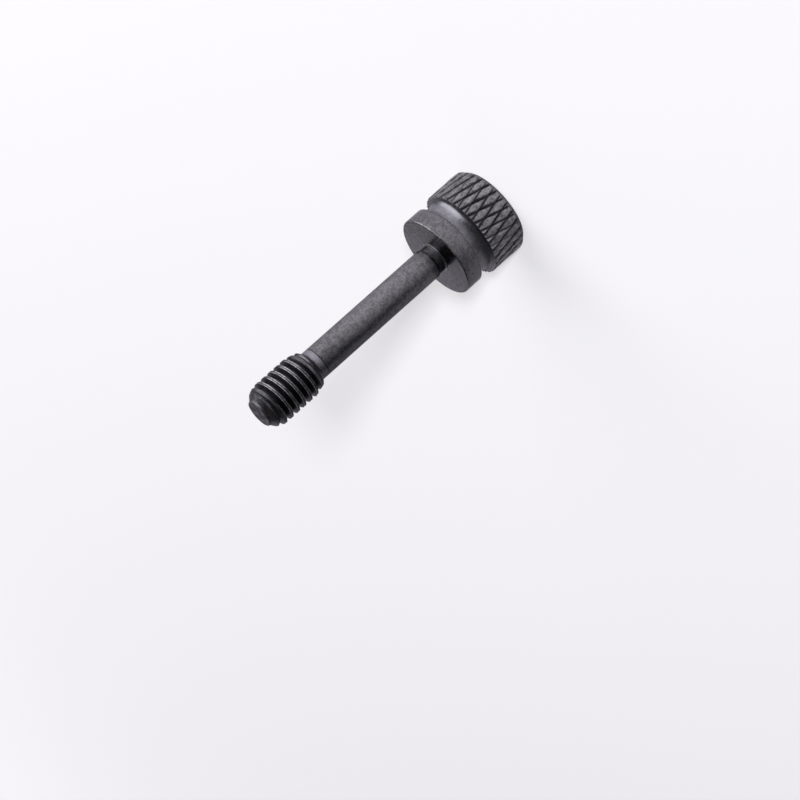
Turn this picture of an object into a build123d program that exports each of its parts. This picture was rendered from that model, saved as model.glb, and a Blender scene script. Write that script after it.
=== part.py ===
from build123d import *
import os
from math import atan, cos, degrees, radians, tan

# Captive thumb screw, M4 x 0.7 x 20, turned in one piece.  Millimetres.
# It stands on its flat head: the origin is the centre of the head's end face,
# and the screw's axis is +Z, from the head to the threaded tip.

# Knurled grip of the head
knurl_dia = 8.00
knurl_len = 3.55
end_chamfer_len = 0.45
end_chamfer_depth = 0.40
centre_mark_dia = 0.36
centre_mark_depth = 0.14

# Diamond knurl: two hands of straight V grooves, each tangent to the grip
knurl_starts = 30
knurl_helix_angle = 15.2
knurl_depth = 0.21
knurl_groove_angle = 92.0
knurl_cross_z = 1.11
knurl_turn = 6.4

# Rounded neck between the grip and the collar
neck_len = 1.41
neck_wall_dia = 7.40
neck_floor_dia = 6.44

# Plain collar, whose upper face is the seat under the head
collar_dia = 7.50
collar_len = 1.64
edge_break = 0.07

# Thin shank that lets the screw stay captive in its panel
under_head_len = 20.0
shank_dia = 2.70
root_ring_height = 0.08
root_ring_len = 0.09
relief_depth = 0.10
relief_len = 0.62
relief_slope_len = 0.14

# Thread M4 x 0.7, tolerance 6g, right hand, rolled, with low first and last turns
thread_dia = 3.94
thread_pitch = 0.70
thread_flank_angle = 60.0
thread_len = 6.00
blank_dia = 3.40
shoulder_len = 0.31
root_fade_len = 0.36
ridge_fade_len = 0.82
crest_below_tip = 1.52

# End of the thread: flat face, narrow land, then a chamfer up to the blank
tip_dia = 2.44
tip_land_dia = 2.50
tip_land_len = 0.16
tip_chamfer_len = 0.38

# Thread section worked out from the pitch: depth and blunt rolled crest
thread_depth = 0.57 * thread_pitch
thread_crest_flat = 0.20 * thread_pitch
thread_root_dia = thread_dia - 2 * thread_depth

# Heights worked out from the sizes above
collar_z = knurl_len + neck_len
seat_z = collar_z + collar_len
tip_z = seat_z + under_head_len
thread_z = tip_z - thread_len

# How far a cutter or a swept ridge runs past the surface it meets
overrun = 0.08


def turned(outline):
    """Solid of revolution about Z from a closed outline in the XZ plane."""
    return revolve(Plane.XZ * make_face(outline), Axis.Z)


def grip_blank():
    """Grip before knurling: a cylinder, chamfered at its end face, with a centre mark."""
    r = knurl_dia / 2
    outline = Polyline(
        (0, centre_mark_depth),
        (centre_mark_dia / 2, 0),
        (r - end_chamfer_depth, 0),
        (r, end_chamfer_len),
        (r, knurl_len),
        (0, knurl_len),
        close=True,
    )
    return turned(outline)


def knurl_groove(hand):
    """One V groove through the length of the grip, leaning to the given hand."""
    lean = radians(knurl_helix_angle)
    floor_r = knurl_dia / 2 - knurl_depth
    depth = knurl_depth + overrun
    half_width = depth * tan(radians(knurl_groove_angle / 2))
    vee = make_face(
        Polyline(
            (floor_r, 0),
            (floor_r + depth, half_width),
            (floor_r + depth, -half_width),
            close=True,
        )
    )
    length = knurl_len / cos(lean) + 2 * depth
    groove = extrude(vee, amount=length / 2, both=True)
    side_shift = (knurl_len / 2 - knurl_cross_z) * tan(lean)
    turn = hand * degrees(side_shift / (knurl_dia / 2))
    return Pos(0, 0, knurl_len / 2) * Rot(0, 0, -turn) * Rot(hand * knurl_helix_angle, 0, 0) * groove


def grip():
    """Grip with the diamonds that the two hands of grooves leave standing."""
    step = 360 / knurl_starts
    cutters = []
    for i in range(knurl_starts):
        cutters.append(Rot(0, 0, knurl_turn + i * step) * knurl_groove(1))
        cutters.append(Rot(0, 0, knurl_turn + i * step) * knurl_groove(-1))
    return grip_blank() - cutters


def neck_and_collar():
    """Hollow-sided neck and the plain collar with its two broken edges."""
    wall_r = neck_wall_dia / 2
    floor_r = neck_floor_dia / 2
    collar_r = collar_dia / 2
    outline = [
        Line((0, knurl_len), (wall_r, knurl_len)),
        ThreePointArc(
            (wall_r, knurl_len),
            (floor_r, knurl_len + neck_len / 2),
            (collar_r - edge_break, collar_z),
        ),
        Polyline(
            (collar_r - edge_break, collar_z),
            (collar_r, collar_z + edge_break),
            (collar_r, seat_z - edge_break),
            (collar_r - edge_break, seat_z),
            (0, seat_z),
        ),
        Line((0, seat_z), (0, knurl_len)),
    ]
    return turned(outline)


def shank():
    """Plain shank: a small root ring at the seat, an undercut, then the long cylinder."""
    shank_r = shank_dia / 2
    ring_r = shank_r + root_ring_height
    relief_r = shank_r - relief_depth
    ring_z = seat_z + root_ring_len
    relief_z = ring_z + relief_len
    outline = Polyline(
        (0, seat_z),
        (ring_r, seat_z),
        (relief_r, ring_z),
        (relief_r, relief_z),
        (shank_r, relief_z + relief_slope_len),
        (shank_r, thread_z),
        (0, thread_z),
        close=True,
    )
    return turned(outline)


def thread_core():
    """Core of the threaded end: the blank shows at both ends, the thread's root between."""
    root_r = thread_root_dia / 2
    low_blank_z = thread_z + shoulder_len
    land_z = tip_z - tip_land_len
    high_blank_z = land_z - tip_chamfer_len
    outline = Polyline(
        (0, thread_z),
        (shank_dia / 2, thread_z),
        (blank_dia / 2, low_blank_z),
        (root_r, low_blank_z + root_fade_len),
        (root_r, high_blank_z - root_fade_len),
        (blank_dia / 2, high_blank_z),
        (tip_land_dia / 2, land_z),
        (tip_dia / 2, tip_z),
        (0, tip_z),
        close=True,
    )
    return turned(outline)


def ridge_section(sink):
    """Section of the thread's ridge, its narrow foot inside the core, lowered by sink."""
    flank = tan(radians(thread_flank_angle / 2))
    crest_r = thread_dia / 2
    hidden_r = thread_root_dia / 2 - overrun / 4
    foot_r = thread_root_dia / 2 - overrun
    crest_half = thread_crest_flat / 2
    hidden_half = crest_half + (crest_r - hidden_r) * flank
    outline = [
        (foot_r - sink, -crest_half),
        (hidden_r - sink, -hidden_half),
        (crest_r - sink, -crest_half),
        (crest_r - sink, crest_half),
        (hidden_r - sink, hidden_half),
        (foot_r - sink, crest_half),
    ]
    return Plane.XZ * make_face(Polyline(*outline, close=True))


def ridge_run(height, sink):
    """Right-hand ridge from (X, 0, 0) upward, rising out of the core by sink."""
    path = Helix(
        thread_pitch,
        height,
        thread_root_dia / 2 - overrun - sink,
        cone_angle=degrees(atan(sink / height)),
    )
    return sweep(ridge_section(sink), path=path, is_frenet=True)


def on_lead(z):
    """Place on the thread's lead: height z, turned so that the crests stay in step."""
    turns = (z - tip_z + crest_below_tip) / thread_pitch
    return Pos(0, 0, z) * Rot(0, 0, 360 * turns)


def thread_ridge():
    """Full ridge, which rises out of the shoulder and sinks again into the tip chamfer."""
    start_z = thread_z + 0.6 * shoulder_len
    end_z = tip_z - tip_land_len - 0.6 * tip_chamfer_len
    low_z = start_z + ridge_fade_len
    high_z = end_z - ridge_fade_len
    sink = thread_depth + overrun
    full = on_lead(low_z) * ridge_run(high_z - low_z, 0)
    fade_in = on_lead(start_z) * ridge_run(ridge_fade_len, sink)
    fade_out = on_lead(end_z) * Rot(180, 0, 0) * ridge_run(ridge_fade_len, sink)
    return [fade_in, full, fade_out]


def threaded_end():
    return thread_core() + thread_ridge()


def thumb_screw():
    return grip() + neck_and_collar() + shank() + threaded_end()


os.makedirs("parts", exist_ok=True)
export_step(thumb_screw(), "parts/thumb_screw.step")
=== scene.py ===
import random
from math import atan2, ceil, cos, hypot, pi, prod, radians, sin, tan

import bmesh
import bpy
from mathutils import Matrix, Vector


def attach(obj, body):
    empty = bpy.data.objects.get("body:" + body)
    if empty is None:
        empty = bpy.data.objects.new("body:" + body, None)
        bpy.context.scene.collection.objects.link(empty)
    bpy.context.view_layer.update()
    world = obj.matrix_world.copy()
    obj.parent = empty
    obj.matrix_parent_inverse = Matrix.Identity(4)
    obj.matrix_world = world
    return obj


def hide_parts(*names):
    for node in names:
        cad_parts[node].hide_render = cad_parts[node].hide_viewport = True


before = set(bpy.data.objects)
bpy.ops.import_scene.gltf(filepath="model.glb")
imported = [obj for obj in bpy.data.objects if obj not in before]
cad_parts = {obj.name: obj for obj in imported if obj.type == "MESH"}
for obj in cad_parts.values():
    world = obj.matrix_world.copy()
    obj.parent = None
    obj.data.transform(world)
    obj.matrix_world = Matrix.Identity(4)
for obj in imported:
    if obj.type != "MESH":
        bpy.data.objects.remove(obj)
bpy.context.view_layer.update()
print("frame loaded:", sorted(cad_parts))

# The screw is modelled in millimetres on its own axis, from the head's end face up to
# the tip, and brought to metres once, when its mesh is finished.
metresPerMillimetre = 0.001
random.seed(4)

# How finely the whole screw is made, in millimetres, degrees and counts
fineness = {
    "merge": 0.0004,            # points closer than this become one
    "onPlane": 0.00001,         # a cut takes points this close as lying on it
    "slack": 0.001,             # allowed when an edge or face is looked for by its height
    "poleRadius": 0.00001,      # a ring this small is merged into a pole
    "broadRounding": 0.2,       # corners rounder than this get the broad steps
    "broadSteps": 12,
    "fineSteps": 3,
    "sharpAngle": 32,
}


def onlyVerts(geometry):
    return [g for g in geometry if isinstance(g, bmesh.types.BMVert)]


def turnOf(v):
    # how far round the axis a point is, from +X
    return atan2(v.co.y, v.co.x)


def everything(bm):
    return bm.verts[:] + bm.edges[:] + bm.faces[:]


def mergeDoubles(bm):
    bmesh.ops.remove_doubles(bm, verts=bm.verts, dist=fineness["merge"])


def cutAway(bm, place, direction):
    # removes what lies beyond a plane, on the side that direction points to
    bmesh.ops.bisect_plane(
        bm, geom=everything(bm), dist=fineness["onPlane"],
        plane_co=place, plane_no=Vector(direction).normalized(), clear_outer=True,
    )


def openRim(bm, lowZ, highZ):
    # open edges whose two ends lie between two heights
    low, high = lowZ - fineness["slack"], highZ + fineness["slack"]
    return [e for e in bm.edges if e.is_boundary and all(low <= v.co.z <= high for v in e.verts)]


def pullRim(bm, rim, radius, height):
    # new faces from an open rim to a ring of the given radius and height
    made = bmesh.ops.extrude_edge_only(bm, edges=rim)["geom"]
    for v in onlyVerts(made):
        v.co = (radius * cos(turnOf(v)), radius * sin(turnOf(v)), height)
    return [g for g in made if isinstance(g, bmesh.types.BMEdge) and g.is_boundary]


def closeRim(bm, rim, radius, height, poleHeight):
    # flat face from a rim to a smaller ring, then a flat or hollow middle to a pole
    inner = pullRim(bm, rim, radius, height)
    pullRim(bm, inner, fineness["poleRadius"], poleHeight)
    mergeDoubles(bm)


def outlineWire(bm, corners):
    # open outline in the XZ plane; each corner is radius, height and rounding
    verts = [bm.verts.new((r, 0, z)) for r, z, rounding in corners]
    for a, b in zip(verts, verts[1:]):
        bm.edges.new((a, b))
    for v, (r, z, rounding) in zip(verts, corners):
        if rounding:
            broad = rounding > fineness["broadRounding"]
            bmesh.ops.bevel(
                bm, geom=[v], offset=rounding, offset_type="OFFSET",
                segments=fineness["broadSteps" if broad else "fineSteps"],
                profile=0.5, affect="VERTICES", material=-1,
            )


# Knurled grip: a flat sheet of raised diamonds, trimmed, then wrapped round the axis
grip = {
    "radius": 4.0,
    "length": 3.55,
    "starts": 30,
    "helixAngle": 14.7,
    "grooveDepth": 0.16,
    "grooveAngle": 92.0,
    "crossingHeight": 1.04,     # where two grooves cross, up from the end face
    "turn": 7.4,                # and how far round the axis from +X, in degrees
    "toothRounding": 0.022,
    "toothRoundingSteps": 2,
    "toothCrown": 0.012,
    "unevenness": 0.012,        # each tooth is lower by up to this much
    "burr": 0.05,               # each point of the teeth's upper ends is higher by up to this
    "burrBand": 0.07,           # burrs are on points this close to the full radius
    "chamferLength": 0.45,
    "chamferDepth": 0.40,
    "faceRounding": 0.03,
    "faceRoundingMiddle": (0.35, 0.25),     # shares of the rounding outwards and upwards
    "markRadius": 0.18,
    "markDepth": 0.14,
    "wallRadius": 3.84,
}


def diamondSize():
    # half the width and half the length of one diamond
    halfWide = pi * grip["radius"] / grip["starts"]
    return halfWide, halfWide / tan(radians(grip["helixAngle"]))


def raiseDiamond(bm, halfWide, halfLong):
    # one diamond of the knurl: x round the grip, y outwards from the groove floor, z along it
    corners = [(-halfWide, 0, 0), (0, 0, halfLong), (halfWide, 0, 0), (0, 0, -halfLong)]
    top = bm.faces.new([bm.verts.new(c) for c in corners])
    depth = grip["grooveDepth"]
    shoulder = depth - grip["toothCrown"]
    bm.normal_update()
    bmesh.ops.inset_individual(
        bm, faces=[top], thickness=depth * tan(radians(grip["grooveAngle"] / 2)),
        depth=shoulder, use_even_offset=True,
    )
    bmesh.ops.bevel(
        bm, geom=list(top.edges), offset=grip["toothRounding"], offset_type="OFFSET",
        segments=grip["toothRoundingSteps"], profile=0.5, affect="EDGES", material=-1,
    )
    flat = [f for f in bm.faces if all(v.co.y > shoulder - fineness["slack"] for v in f.verts)]
    bmesh.ops.poke(bm, faces=flat, offset=grip["toothCrown"])


def knurlSheet(bm):
    halfWide, halfLong = diamondSize()
    raiseDiamond(bm, halfWide, halfLong)
    pattern = everything(bm)
    rowsDown = ceil(grip["crossingHeight"] / halfLong)
    rowsUp = ceil((grip["length"] - grip["crossingHeight"]) / halfLong)
    for row in range(-rowsDown, rowsUp + 1):
        for place in range(grip["starts"]):
            verts = onlyVerts(bmesh.ops.duplicate(bm, geom=pattern)["geom"])
            wear = random.uniform(0, grip["unevenness"])
            for v in verts:
                if v.co.y > grip["grooveDepth"] / 2:
                    v.co.y -= wear
            across = (place + (0.5 if row % 2 == 0 else 0)) * 2 * halfWide
            along = grip["crossingHeight"] + row * halfLong
            bmesh.ops.translate(bm, verts=verts, vec=(across, 0, along))
    bmesh.ops.delete(bm, geom=onlyVerts(pattern), context="VERTS")
    cutAway(bm, (0, 0, grip["length"]), (0, 0, 1))
    chamferFoot = (0, grip["grooveDepth"] - grip["chamferDepth"], 0)
    cutAway(bm, chamferFoot, (0, grip["chamferLength"], -grip["chamferDepth"]))


def knurledGrip(bm):
    knurlSheet(bm)
    for v in bm.verts:
        turn = radians(grip["turn"]) + v.co.x / grip["radius"]
        radius = grip["radius"] - grip["grooveDepth"] + v.co.y
        v.co = (radius * cos(turn), radius * sin(turn), v.co.z)
    mergeDoubles(bm)
    # burrs, drawn in order round the grip so that each run gives the same ones, then the
    # wall from the teeth in to the neck
    upper = openRim(bm, grip["length"], grip["length"])
    for v in sorted({v for e in upper for v in e.verts}, key=turnOf):
        if hypot(v.co.x, v.co.y) > grip["radius"] - grip["burrBand"]:
            v.co.z += random.uniform(0, grip["burr"])
    pullRim(bm, upper, grip["wallRadius"], grip["length"])
    # end face: its edge is rounded in three steps
    faceRadius = grip["radius"] - grip["chamferDepth"]
    soft = grip["faceRounding"]
    slope = grip["chamferDepth"] / grip["chamferLength"]
    outwards, upwards = grip["faceRoundingMiddle"]
    lower = openRim(bm, 0, grip["chamferLength"])
    lower = pullRim(bm, lower, faceRadius + soft * slope, soft)
    lower = pullRim(bm, lower, faceRadius + outwards * soft * slope, upwards * soft)
    lower = pullRim(bm, lower, faceRadius - soft, 0)
    closeRim(bm, lower, grip["markRadius"], 0, grip["markDepth"])


# Neck, collar and shank: one outline of radius, height and rounding, turned about the axis
turned = {
    "segments": 192,
    "outline": [
        (3.82, 3.55, 0.02),     # neck
        (3.48, 3.71, 0.18),
        (3.24, 4.32, 0.36),
        (3.24, 4.90, 0.08),
        (3.67, 4.96, 0.02),     # collar
        (3.75, 5.03, 0.04),
        (3.75, 6.53, 0.03),
        (3.68, 6.60, 0.03),
        (1.43, 6.60, 0.015),    # root ring and undercut
        (1.41, 6.64, 0.015),
        (1.25, 6.71, 0.02),
        (1.25, 7.31, 0.03),
        (1.35, 7.45, 0.03),     # shank
        (1.35, 20.03, 0.005),   # hairline groove before the thread
        (1.32, 20.05, 0.01),
        (1.32, 20.10, 0.01),
        (1.35, 20.12, 0.005),
        (1.35, 20.67, 0),
    ],
}


def turnedBody(bm):
    # the first corner comes twice: its rounding then leaves a narrow band next to the
    # grip's wall, and the neck's slope beyond that band is shaded evenly
    radius, height, rounding = turned["outline"][0]
    outlineWire(bm, [(radius, height, 0)] + turned["outline"])
    bmesh.ops.spin(
        bm, geom=bm.verts[:] + bm.edges[:], cent=(0, 0, 0), axis=(0, 0, 1), dvec=(0, 0, 0),
        angle=2 * pi, steps=turned["segments"], use_merge=True, use_duplicate=False,
    )


# Rolled M4 thread: its first and last turns are low, as rolling leaves them
thread = {
    "radius": 1.98,
    "pitch": 0.70,
    "depth": 0.399,
    "flankAngle": 60.0,
    "crestFlat": 0.21,          # the crest is two beads this far apart, with a hollow between
    "crestHollow": 0.055,
    "crestRounding": 0.035,
    "rootRounding": 0.02,
    "stepsPerTurn": 96,
    "longEdge": 0.1,            # edges of the section longer than this are cut up
    "longEdgeCuts": 7,
    "startZ": 20.71,
    "shankRadius": 1.35,
    "blankRadius": 1.70,
    "shoulderLength": 0.31,
    "chamferLength": 0.54,
    "rootFade": 0.30,
    # from an end of the thread: the ridge has this share of its height up to the first
    # distance, and all of it from the last
    "lowStart": (0.38, 0.35, 1.25),
    "lowEnd": (0.60, 0.38, 1.14),
    "tipZ": 26.60,
    "tipRadius": 1.22,
    "tipCentreRadius": 0.2,
    "tipLandRadius": 1.25,
    "tipLand": 0.16,
    "tipSlope": 1.19,
    "tipRounding": 0.03,
    "crestBelowTip": 1.54,      # height of a crest at +X, down from the tip
}


def ridgeShare(distance, growth):
    # how much of its height the ridge has, at a distance from the end of the thread
    place, share, fullAt = growth
    return min(1, share + (1 - share) * max(0, distance - place) / (fullAt - place))


def trimmedThreadRadius(radius, z):
    # a point of the endless thread, brought to the shoulder, the low turns and the tip
    t = thread
    up, down = z - t["startZ"], t["tipZ"] - z
    root = t["radius"] - t["depth"]
    share = min(ridgeShare(up, t["lowStart"]), ridgeShare(down, t["lowEnd"]))
    grown = root + (radius - root) * share
    inside = min(up - t["shoulderLength"], down - t["chamferLength"])
    core = t["blankRadius"] + (root - t["blankRadius"]) * min(1, max(0, inside / t["rootFade"]))
    shoulder = t["shankRadius"] + up * (t["blankRadius"] - t["shankRadius"]) / t["shoulderLength"]
    landSlope = (t["tipLandRadius"] - t["tipRadius"]) * (1 - min(1, down / t["tipLand"]))
    chamfer = t["tipLandRadius"] - landSlope + max(0, down - t["tipLand"]) * t["tipSlope"]
    return min(shoulder, chamfer, max(core, grown))


def rolledThread(bm):
    t = thread
    halfCrest = t["crestFlat"] / 2
    flank = t["depth"] * tan(radians(t["flankAngle"] / 2))
    root = t["radius"] - t["depth"]
    crestZ = t["tipZ"] - t["crestBelowTip"]
    firstZ = crestZ - ceil((crestZ - t["startZ"]) / t["pitch"] + 0.5) * t["pitch"]
    turns = ceil((t["tipZ"] - firstZ) / t["pitch"]) + 1
    # one pitch of the section, spun up one turn, then copied turn by turn
    outlineWire(bm, [
        (root, firstZ - t["pitch"] / 2, 0),
        (root, firstZ - halfCrest - flank, t["rootRounding"]),
        (t["radius"], firstZ - halfCrest, t["crestRounding"]),
        (t["radius"] - t["crestHollow"], firstZ, 0),
        (t["radius"], firstZ + halfCrest, t["crestRounding"]),
        (root, firstZ + halfCrest + flank, t["rootRounding"]),
        (root, firstZ + t["pitch"] / 2, 0),
    ])
    longEdges = [e for e in bm.edges if e.calc_length() > t["longEdge"]]
    bmesh.ops.subdivide_edges(bm, edges=longEdges, cuts=t["longEdgeCuts"])
    bmesh.ops.spin(
        bm, geom=bm.verts[:] + bm.edges[:], cent=(0, 0, 0), axis=(0, 0, 1),
        dvec=(0, 0, t["pitch"] / t["stepsPerTurn"]), angle=2 * pi,
        steps=t["stepsPerTurn"], use_merge=False, use_duplicate=False,
    )
    oneTurn = everything(bm)
    for turn in range(1, turns):
        verts = onlyVerts(bmesh.ops.duplicate(bm, geom=oneTurn)["geom"])
        bmesh.ops.translate(bm, verts=verts, vec=(0, 0, turn * t["pitch"]))
    mergeDoubles(bm)
    edgeZ = t["tipZ"] - t["tipRounding"]
    cutAway(bm, (0, 0, t["startZ"]), (0, 0, -1))
    cutAway(bm, (0, 0, edgeZ), (0, 0, 1))
    for v in bm.verts:
        radius = hypot(v.co.x, v.co.y)
        trimmed = trimmedThreadRadius(radius, v.co.z)
        v.co.x *= trimmed / radius
        v.co.y *= trimmed / radius
    rim = openRim(bm, edgeZ, t["tipZ"])
    rim = pullRim(bm, rim, t["tipRadius"] - t["tipRounding"], t["tipZ"])
    closeRim(bm, rim, t["tipCentreRadius"], t["tipZ"], t["tipZ"])


def screwMesh():
    whole = bmesh.new()
    for build in (knurledGrip, turnedBody, rolledThread):
        bm = bmesh.new()
        build(bm)
        part = bpy.data.meshes.new("part")
        bm.to_mesh(part)
        bm.free()
        whole.from_mesh(part)
        bpy.data.meshes.remove(part)
        print("made", build.__name__, len(whole.faces), "faces so far")
    # join the grip to the neck, and the shank to the thread
    shankEnd = turned["outline"][-1][1]
    for lowZ, highZ in [(grip["length"], grip["length"]), (shankEnd, thread["startZ"])]:
        bmesh.ops.bridge_loops(whole, edges=openRim(whole, lowZ, highZ))
    mergeDoubles(whole)
    bmesh.ops.recalc_face_normals(whole, faces=whole.faces)
    bmesh.ops.scale(whole, verts=whole.verts, vec=(metresPerMillimetre,) * 3)
    print("open edges left:", sum(e.is_boundary for e in whole.edges))
    mesh = bpy.data.meshes.new("thumbScrew")
    whole.to_mesh(mesh)
    whole.free()
    mesh.shade_smooth()
    mesh.set_sharp_from_angle(angle=radians(fineness["sharpAngle"]))
    return mesh


screw = bpy.data.objects.new("thumbScrew", screwMesh())
bpy.context.collection.objects.link(screw)
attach(screw, "root")
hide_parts("thumb_screw")


class Wire:
    # a node's output, wrapped so that shader sums read as sums
    def __init__(self, shade, socket):
        self.shade, self.socket = shade, socket

    def __add__(self, other):
        return self.shade.math("ADD", self, other)

    def __sub__(self, other):
        return self.shade.math("SUBTRACT", self, other)

    def __rsub__(self, other):
        return self.shade.math("SUBTRACT", other, self)

    def __mul__(self, other):
        return self.shade.math("MULTIPLY", self, other)

    __radd__ = __add__
    __rmul__ = __mul__


class Shade:
    # one material and its nodes
    def __init__(self, name):
        self.material = bpy.data.materials.new(name)
        self.material.use_nodes = True
        self.nodes = self.material.node_tree.nodes
        self.links = self.material.node_tree.links
        self.nodes.clear()

    def plug(self, socket, value):
        if isinstance(value, Wire):
            self.links.new(value.socket, socket)
        else:
            socket.default_value = value

    def math(self, operation, *values, clamp=False):
        settings = {"operation": operation, "use_clamp": clamp}
        return self.node("Math", settings, dict(enumerate(values)))

    def node(self, kind, settings=None, sockets=None, output=0):
        # a node's type, its settings, and the values or links of its sockets
        made = self.nodes.new("ShaderNode" + kind)
        for name, value in (settings or {}).items():
            setattr(made, name, value)
        for name, value in (sockets or {}).items():
            self.plug(made.inputs[name], value)
        return Wire(self, made.outputs[output]) if len(made.outputs) else made

    def outlets(self, kind, sockets=None):
        # every output of a new node, by name
        made = self.node(kind, sockets=sockets).socket.node
        return {socket.name: Wire(self, socket) for socket in made.outputs}

    def largest(self, first, *others):
        for other in others:
            first = self.math("MAXIMUM", first, other)
        return first

    def mix(self, factor, low, high):
        return self.node("Mix", {"data_type": "RGBA"}, {"Factor": factor, 6: low, 7: high}, 2)

    def between(self, value, low, high, curve="SMOOTHSTEP"):
        # 0 below low, 1 above high, and a smooth or straight rise in the middle
        sockets = {"Value": value, "From Min": low, "From Max": high}
        return self.node("MapRange", {"interpolation_type": curve}, sockets)


# Black oxide on turned steel
finish = {
    "dark": (0.070, 0.068, 0.075, 1),       # the two tones of the oxide
    "light": (0.165, 0.160, 0.175, 1),
    "shadeAndOilTone": (0.022, 0.021, 0.024, 1),       # painted shade in the knurl and the thread, and oil on the tip
    "highlightTone": (0.230, 0.225, 0.260, 1),       # painted highlight on the neck, the grip's wall and one side of the bare shank
    "wornAndHighlit": (0.42, 0.41, 0.43, 1),          # handled edges, partly painted highlight on them
    "edgeTint": (0.60, 0.585, 0.62, 1),
    "metallic": 1.0,
    "roughness": 0.36,
    "bumpStrength": 0.25,
    "bumpDepth": 0.00001,                   # in metres
    "noises": {                             # scale, detail, roughness
        "mottle": (2600.0, 5.0, 0.6),
        "grain": (7000.0, 3.0, 0.6),
        "marks": (9000.0, 4.0, 0.65),
        "clouds": (1500.0, 2.0, 0.5),
    },
    "toneShares": {"mottle": 0.4, "grain": 0.45, "marks": 0.15},
    "tones": (0.38, 0.64),                  # noise levels of the dark tone and the light
    "wearShares": {"mottle": 0.5, "grain": 0.5},
    "wearLevels": (0.35, 0.62),
    "bumpShares": {"marks": 0.5, "grain": 0.5},
    "cloudLevels": (0.42, 0.60),
    "grainRoughness": 0.22,
    "mottleRoughness": 0.2,
    "seatSmoother": 0.12,
    "tipRougher": 0.15,
    # painted shade on the tip-facing groove sides, as places across the lattice of one hand of
    # grooves
    "risingSide": (0.78, 0.82),
    "fallingSide": (0.18, 0.22),
    # how strongly each zone gets painted shade, painted highlight, or wear with painted highlight
    "tipOil": 0.55,
    "oilAndPaintedShade": {"grooveBottom": 0.2, "flanks": 0.58, "lowTurns": 0.38, "hairline": 0.85},
    "paintedHighlight": {"neck": 0.42, "wall": 0.9, "bareShank": 0.45},
    "wear": {"toothTop": 0.28, "crest": 0.85, "seatRim": 0.55, "rootRing": 0.5},
}

# Zones of the finish, in millimetres: along x, z or the radius, where a zone starts and is
# full, and where it starts to fade and is gone
zones = {
    "grip": [("z", None, (3.52, 3.56))],
    "plusSide": [("x", (-1.8, 1.8), None)],
    "grooveBottom": [("z", None, (3.52, 3.56)), ("radius", None, (3.84, 3.88))],
    "toothTop": [("z", None, (3.52, 3.56)), ("radius", (3.88, 3.96), None)],
    "wall": [("z", (3.53, 3.549), (3.56, 3.60)), ("radius", (3.55, 3.65), None)],
    "neck": [("z", (3.54, 3.70), (4.30, 4.80)), ("radius", None, (3.90, 3.95))],
    "seatRim": [("z", (6.51, 6.55), None), ("radius", (3.67, 3.70), None)],
    "seat": [("z", (6.590, 6.598), (6.602, 6.610))],
    "rootRing": [("z", (6.60, 6.62), (6.68, 6.72)), ("radius", None, (1.50, 1.60))],
    "hairline": [("z", (20.03, 20.05), (20.10, 20.12))],
    "bareShank": [("z", (20.11, 20.14), (20.56, 20.62)), ("x", (-0.5, 0.4), None)],
    "lowTurns": [("z", (20.6, 20.8), (25.9, 26.3))],
    "flanks": [("z", (21.2, 21.7), (25.2, 25.8)), ("radius", None, (1.945, 1.957))],
    "crest": [("z", (20.6, 20.9), None), ("radius", (1.952, 1.962), None)],
    "tipFace": [("z", (26.590, 26.598), None)],
}


def zoneMask(s, measures, name):
    # 1 inside a zone, 0 outside it, soft at its edges
    steps = []
    for measure, start, end in zones[name]:
        for pair in (start, end):
            if pair:
                low, high = (v * metresPerMillimetre for v in pair)
                past = s.between(measures[measure], low, high)
                steps.append(past if pair is start else 1 - past)
    return prod(steps[1:], start=steps[0])


def knurlLattice(s, x, y, z):
    # the middle of a groove of one hand is where across + along is a whole number, and of
    # the other hand where across - along is
    perTurn = grip["starts"] / (2 * pi)
    across = s.math("ARCTAN2", y, x) * perTurn - radians(grip["turn"]) * perTurn
    oneLong = 2 * diamondSize()[1] * metresPerMillimetre
    along = (z - grip["crossingHeight"] * metresPerMillimetre) * (1 / oneLong)
    return s.math("FRACT", across + along), s.math("FRACT", across - along)


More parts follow.
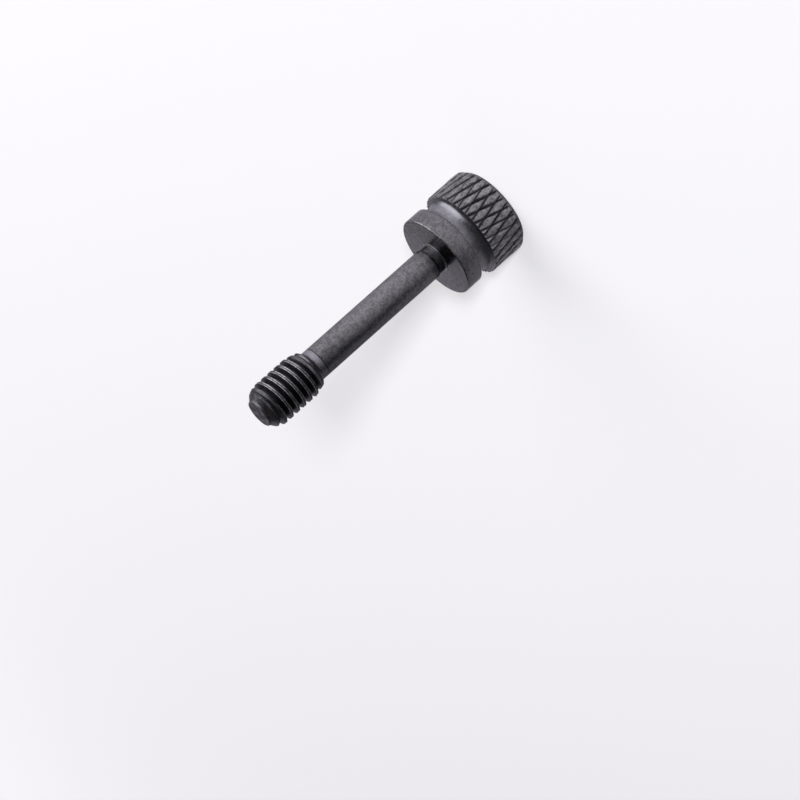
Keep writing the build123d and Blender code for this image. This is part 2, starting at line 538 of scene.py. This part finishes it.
def blackOxideSteel():
    s = Shade("blackOxideSteel")
    place = s.node("TexCoord", output="Object")
    split = s.outlets("SeparateXYZ", {"Vector": place})
    x, y, z = (split[axis] for axis in "XYZ")
    radius = s.math("SQRT", x * x + y * y)
    measures = {"x": x, "z": z, "radius": radius}
    # turning marks are the same at one radius and height all the way round
    turning = s.node("CombineXYZ", sockets={"X": radius, "Z": z})
    noises = {}
    for name, (scale, detail, rough) in finish["noises"].items():
        vector = turning if name == "marks" else place
        sockets = {"Vector": vector, "Scale": scale, "Detail": detail, "Roughness": rough}
        noises[name] = s.node("TexNoise", sockets=sockets)

    def zone(name):
        return zoneMask(s, measures, name)

    def zonesOf(kind):
        return [zone(name) * share for name, share in finish[kind].items()]

    def blend(kind):
        return sum(noises[name] * share for name, share in finish[kind].items())

    body = s.mix(s.between(blend("toneShares"), *finish["tones"]), finish["dark"], finish["light"])
    # painted shade darkens the thread, its hairline groove, the knurl's groove bottoms and the
    # groove sides that face the tip: those of one hand of grooves where x is positive, of the
    # other where it is not; oil darkens patches of the tip
    rising, falling = knurlLattice(s, x, y, z)
    plusSide = zone("plusSide")
    paintedGrooveShade = zone("grip") * s.largest(
        s.between(rising, *finish["risingSide"]) * (1 - plusSide),
        (1 - s.between(falling, *finish["fallingSide"])) * plusSide,
    )
    tipPatches = zone("tipFace") * s.between(noises["clouds"], *finish["cloudLevels"])
    oilAndPaintedShade = s.largest(paintedGrooveShade, tipPatches * finish["tipOil"], *zonesOf("oilAndPaintedShade"))
    body = s.mix(oilAndPaintedShade, body, finish["shadeAndOilTone"])
    # painted highlight: a paler base colour all round the neck's slope and the grip's wall beside
    # it, and on one side of the last half millimetre of the shank
    body = s.mix(s.largest(*zonesOf("paintedHighlight")), body, finish["highlightTone"])
    # wear and painted highlight: the tooth tops, the thread's crest beads, the seat's rim and the
    # root ring are lighter, in patches
    wornAndHighlit = sum(zonesOf("wear"))
    wearPatches = s.between(blend("wearShares"), *finish["wearLevels"])
    colour = s.mix(s.math("MULTIPLY", wornAndHighlit, wearPatches, clamp=True), body, finish["wornAndHighlit"])
    roughness = (
        finish["roughness"]
        + (noises["grain"] - 0.5) * finish["grainRoughness"]
        + (noises["mottle"] - 0.5) * finish["mottleRoughness"]
        - zone("seat") * finish["seatSmoother"]
        + tipPatches * finish["tipRougher"]
    )
    bump = s.node("Bump", sockets={
        "Strength": finish["bumpStrength"],
        "Distance": finish["bumpDepth"],
        "Height": blend("bumpShares"),
    })
    shader = s.node("BsdfPrincipled", sockets={
        "Base Color": colour,
        "Metallic": finish["metallic"],
        "Roughness": roughness,
        "Specular Tint": finish["edgeTint"],
        "Normal": bump,
    })
    s.node("OutputMaterial", sockets={"Surface": shader})
    return s.material


screw.data.materials.append(blackOxideSteel())
print("screw finished")

# Pale floor, lamps and room, in metres.  Turns are cosines from the named side.
studio = {
    "floorSize": 3.0,
    "floorColour": (0.40, 0.393, 0.410, 1),
    # the light that the camera sees in the floor
    "glowColour": (0.99, 0.975, 1.0, 1),
    "glowSide": (0.93, 0.37, 0),            # the floor grows brighter this way
    "glowReach": (-0.10, 0.20),             # from here to here
    "floorGlow": (0.336, 0.241),            # everywhere, added at the far end of the reach
    # the light that the metal mirrors from the floor
    "keySide": (0.93, -0.37, 0),
    "backSide": (-0.80, 0.60, 0),
    "mirroredNear": (0.60, 0.85, 0.25),     # everywhere, added towards keySide, backSide
    "mirroredFar": (0.05, 2.1, 0.5),
    "keyTurnNear": (-0.5, 0.5),
    "keyTurnFar": (-0.6, 1.0),
    "backTurn": (0.25, 1.0),
    "farFrom": (0.018, 0.030),              # the far pattern comes in between these distances
    "contact": (0.0010, 0.0042),            # painted shadow under the head in the mirrored floor, out to here
    "fallOff": (0.10, 0.30),                # and between these it loses the share below
    "fallOffShare": 0.85,
    "aim": (0, 0, 0.0132),
    # direction, distance, width, height, brightness, whether the metal mirrors it
    "lamps": {
        "keyBox": ((0.86, -0.20, 0.47), 0.50, 0.80, 0.42, 3.6, True),
        "frontBox": ((0.055, -0.94, 0.32), 1.20, 0.10, 0.10, 950.0, False),
        "backWall": ((-0.10, 0.94, 0.30), 0.50, 0.80, 0.30, 0.85, True),
    },
    "roomColour": (0.97, 0.97, 1, 1),
    "roomLight": 0.10,
}


def towards(s, vector, side):
    # how far a vector goes towards a named side of the studio
    direction = Vector(studio[side]).normalized()
    return s.node("VectorMath", {"operation": "DOT_PRODUCT"}, {0: vector, 1: direction}, "Value")


def mirroredFloor(s, place, away):
    # brightness of the floor in the metal: one pattern close by, another further off
    outwards = s.node("VectorMath", {"operation": "NORMALIZE"}, {0: place})
    toKey, toBack = (towards(s, outwards, side) for side in ("keySide", "backSide"))
    back = s.between(toBack, *studio["backTurn"])
    level, keyAdds, backAdds = studio["mirroredFar"]
    farKey = s.between(toKey, *studio["keyTurnFar"], curve="LINEAR")
    farSeen = level + farKey * keyAdds + back * backAdds
    level, keyAdds, backAdds = studio["mirroredNear"]
    nearSeen = level + s.between(toKey, *studio["keyTurnNear"]) * keyAdds + back * backAdds
    farShare = s.between(away, *studio["farFrom"])
    clear = s.between(away, *studio["contact"])
    faded = 1 - s.between(away, *studio["fallOff"]) * studio["fallOffShare"]
    return (nearSeen + farShare * (farSeen - nearSeen)) * clear * faded


def floorFinish():
    s = Shade("paleFloor")
    place = s.node("TexCoord", output="Object")
    away = s.node("VectorMath", {"operation": "LENGTH"}, {0: place}, "Value")
    rays = s.outlets("LightPath")
    mirrored = s.largest(rays["Is Glossy Ray"], rays["Is Transmission Ray"])
    level, added = studio["floorGlow"]
    reach = s.between(towards(s, place, "glowSide"), *studio["glowReach"], curve="LINEAR")
    seen = rays["Is Camera Ray"] * (level + reach * added)
    glow = s.node("Emission", sockets={
        "Color": studio["glowColour"],
        "Strength": seen + mirrored * mirroredFloor(s, place, away),
    })
    matt = s.node("BsdfDiffuse", sockets={"Color": studio["floorColour"]})
    both = s.node("AddShader", sockets={0: glow, 1: matt})
    surface = s.node("MixShader", sockets={0: mirrored, 1: both, 2: glow})
    s.node("OutputMaterial", sockets={"Surface": surface})
    return s.material


def paleFloor():
    bm = bmesh.new()
    bmesh.ops.create_grid(bm, x_segments=1, y_segments=1, size=studio["floorSize"] / 2)
    mesh = bpy.data.meshes.new("paleFloor")
    bm.to_mesh(mesh)
    bm.free()
    mesh.materials.append(floorFinish())
    paleSurface = bpy.data.objects.new("paleFloor", mesh)
    bpy.context.collection.objects.link(paleSurface)


def lamp(name, direction, distance, width, height, brightness, mirrored):
    outwards = Vector(direction).normalized()
    data = bpy.data.lights.new(name, "AREA")
    data.shape = "RECTANGLE"
    data.size, data.size_y = width, height
    data.energy = brightness * width * height * pi
    light = bpy.data.objects.new(name, data)
    bpy.context.collection.objects.link(light)
    light.location = Vector(studio["aim"]) + outwards * distance
    light.rotation_euler = outwards.to_track_quat("Z", "Y").to_euler()
    light.visible_camera = False
    light.visible_glossy = mirrored


def studioLight():
    for name, values in studio["lamps"].items():
        lamp(name, *values)
    world = bpy.data.worlds.new("studio")
    world.use_nodes = True
    background = world.node_tree.nodes["Background"].inputs
    background["Color"].default_value = studio["roomColour"]
    background["Strength"].default_value = studio["roomLight"]
    bpy.context.scene.world = world


# Camera: where it stands, and which way its right and upper sides point
view = {
    "location": (0, -0.227176, 0.090703),
    "right": (-0.66430, -0.24831, -0.70502),
    "up": (0.74694, -0.18519, -0.63858),
    "lens": 133.47,
    "sensor": 36.0,
    "clip": (0.01, 10),
}


def studioCamera():
    data = bpy.data.cameras.new("camera")
    data.lens, data.sensor_width = view["lens"], view["sensor"]
    data.clip_start, data.clip_end = view["clip"]
    camera = bpy.data.objects.new("camera", data)
    bpy.context.collection.objects.link(camera)
    right = Vector(view["right"]).normalized()
    up = Vector(view["up"])
    up = (up - right * right.dot(up)).normalized()
    axes = Matrix((right, up, right.cross(up))).transposed().to_4x4()
    camera.matrix_world = Matrix.Translation(view["location"]) @ axes
    bpy.context.scene.camera = camera


paleFloor()
studioLight()
studioCamera()
bpy.context.scene.view_settings.view_transform = "Standard"
print("stage and camera set")
